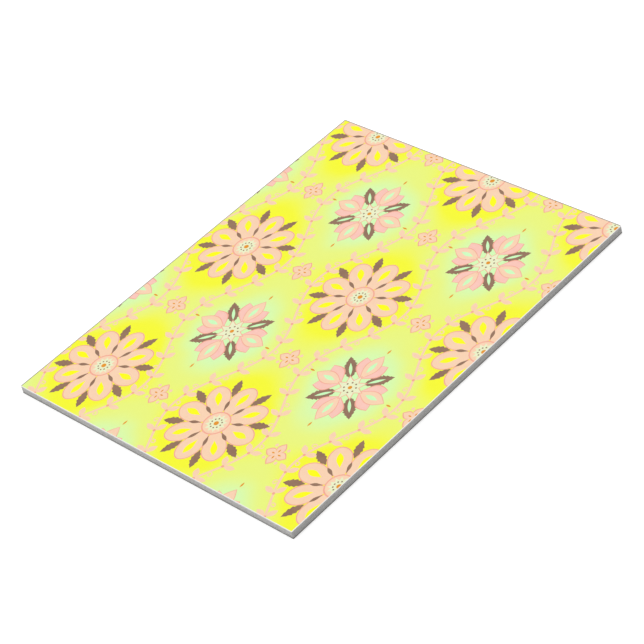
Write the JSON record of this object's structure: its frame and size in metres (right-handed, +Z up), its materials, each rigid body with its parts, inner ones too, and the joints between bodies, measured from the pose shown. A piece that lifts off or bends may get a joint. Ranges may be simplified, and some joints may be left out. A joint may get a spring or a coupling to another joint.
{
  "type": "notepad",
  "caption": "Letter-size gummed notepad lying flat: loose sheets under a printed top sheet, a greyboard back and a gum film along one short edge.",
  "frame": {"origin": "middle of the pad's footprint, on the surface that it lies on", "axes": "+Z up out of the printed face, +Y towards the gummed edge, X across the sheets"},
  "size_m": [0.216, 0.2798, 0.0051],
  "materials": {
    "greyboard": "matt, fibrous",
    "plain_paper": "matt, uncoated",
    "printed_paper": "matt print",
    "padding_gum": "satin, milky"
  },
  "bodies": {
    "root": {"backing_board": "greyboard", "sheet_block": "plain_paper", "top_sheet": "printed_paper", "gum_binding": "padding_gum"}
  },
  "joints": []
}
